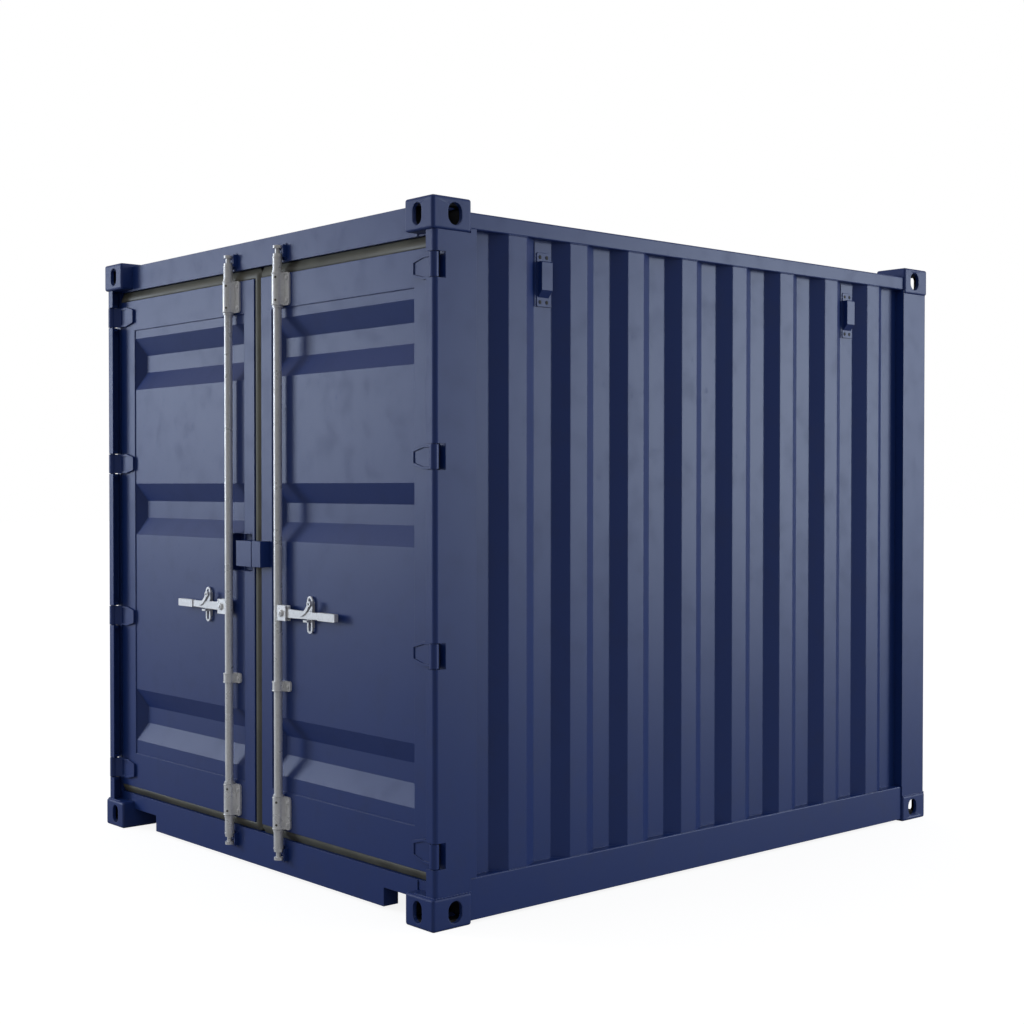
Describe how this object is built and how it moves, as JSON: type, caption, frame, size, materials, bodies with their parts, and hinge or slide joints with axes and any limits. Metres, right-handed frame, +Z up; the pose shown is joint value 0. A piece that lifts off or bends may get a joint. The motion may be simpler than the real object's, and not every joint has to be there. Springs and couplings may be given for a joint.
{
  "type": "shipping container",
  "caption": "Short steel freight container with corrugated walls, hinged doors with lock rods, and cast corner blocks for lifting, stacking and lashing.",
  "frame": {"origin": "on the ground at the middle of the footprint", "axes": "+X across the width, to the right seen from the doors; +Y along the length, away from the doors; +Z up"},
  "size_m": [2.438, 2.991, 2.591],
  "materials": {
    "navy_paint": "semi-gloss navy paint",
    "casting_paint": "semi-gloss navy paint on cast steel",
    "zinc_coat": "galvanised steel",
    "seal_rubber": "dull dark rubber",
    "floor_wood": "worn plywood",
    "underside_paint": "dull black underbody coating"
  },
  "bodies": {
    "container": {"front_left_bottom_casting": "casting_paint", "front_right_bottom_casting": "casting_paint", "rear_left_bottom_casting": "casting_paint", "rear_right_bottom_casting": "casting_paint", "front_left_top_casting": "casting_paint", "front_right_top_casting": "casting_paint", "rear_left_top_casting": "casting_paint", "rear_right_top_casting": "casting_paint", "left_door_post": "navy_paint", "left_rear_post": "navy_paint", "left_bottom_rail": "navy_paint", "left_top_rail": "navy_paint", "left_wall": "navy_paint", "right_door_post": "navy_paint", "right_rear_post": "navy_paint", "right_bottom_rail": "navy_paint", "right_top_rail": "navy_paint", "right_wall": "navy_paint", "door_header": "navy_paint", "door_sill": "navy_paint", "rear_top_rail": "navy_paint", "rear_bottom_rail": "navy_paint", "rear_wall": "navy_paint", "roof_panel": "navy_paint", "floor_boards": "floor_wood", "cross_members": "underside_paint", "wall_vents": "navy_paint", "cam_keepers": "navy_paint"},
    "left_door": {"left_door_frame": "navy_paint", "left_door_panel": "navy_paint", "left_door_gasket": "seal_rubber", "left_hinge_blades": "navy_paint", "left_rod_bearings": "zinc_coat", "left_handle_retainer": "zinc_coat", "left_lock_box": "navy_paint"},
    "left_rod": {"left_lock_rod": "zinc_coat"},
    "left_handle": {"left_door_handle": "zinc_coat"},
    "right_door": {"right_door_frame": "navy_paint", "right_door_panel": "navy_paint", "right_door_gasket": "seal_rubber", "right_hinge_blades": "navy_paint", "right_rod_bearings": "zinc_coat", "right_handle_retainer": "zinc_coat", "right_lock_box": "navy_paint"},
    "right_rod": {"right_lock_rod": "zinc_coat"},
    "right_handle": {"right_door_handle": "zinc_coat"}
  },
  "joints": [
    {"name": "left_door_swing", "type": "hinge", "parent": "container", "child": "left_door", "pos_m": [-1.194, -1.4695, 1.3], "axis": [0, 0, -1], "range_deg": [0, 265]},
    {"name": "right_door_swing", "type": "hinge", "parent": "container", "child": "right_door", "pos_m": [1.194, -1.4695, 1.3], "axis": [0, 0, 1], "range_deg": [0, 265]},
    {"name": "left_rod_turn", "type": "hinge", "parent": "left_door", "child": "left_rod", "pos_m": [-0.186, -1.4625, 1.3], "axis": [0, 0, -1], "range_deg": [-105, 0]},
    {"name": "right_rod_turn", "type": "hinge", "parent": "right_door", "child": "right_rod", "pos_m": [0.186, -1.4625, 1.3], "axis": [0, 0, 1], "range_deg": [-105, 0]},
    {"name": "left_handle_lift", "type": "hinge", "parent": "left_rod", "child": "left_handle", "pos_m": [-0.228, -1.4625, 1.067], "axis": [0, 1, 0], "range_deg": [0, 30]},
    {"name": "right_handle_lift", "type": "hinge", "parent": "right_rod", "child": "right_handle", "pos_m": [0.228, -1.4625, 1.067], "axis": [0, -1, 0], "range_deg": [0, 30]}
  ]
}
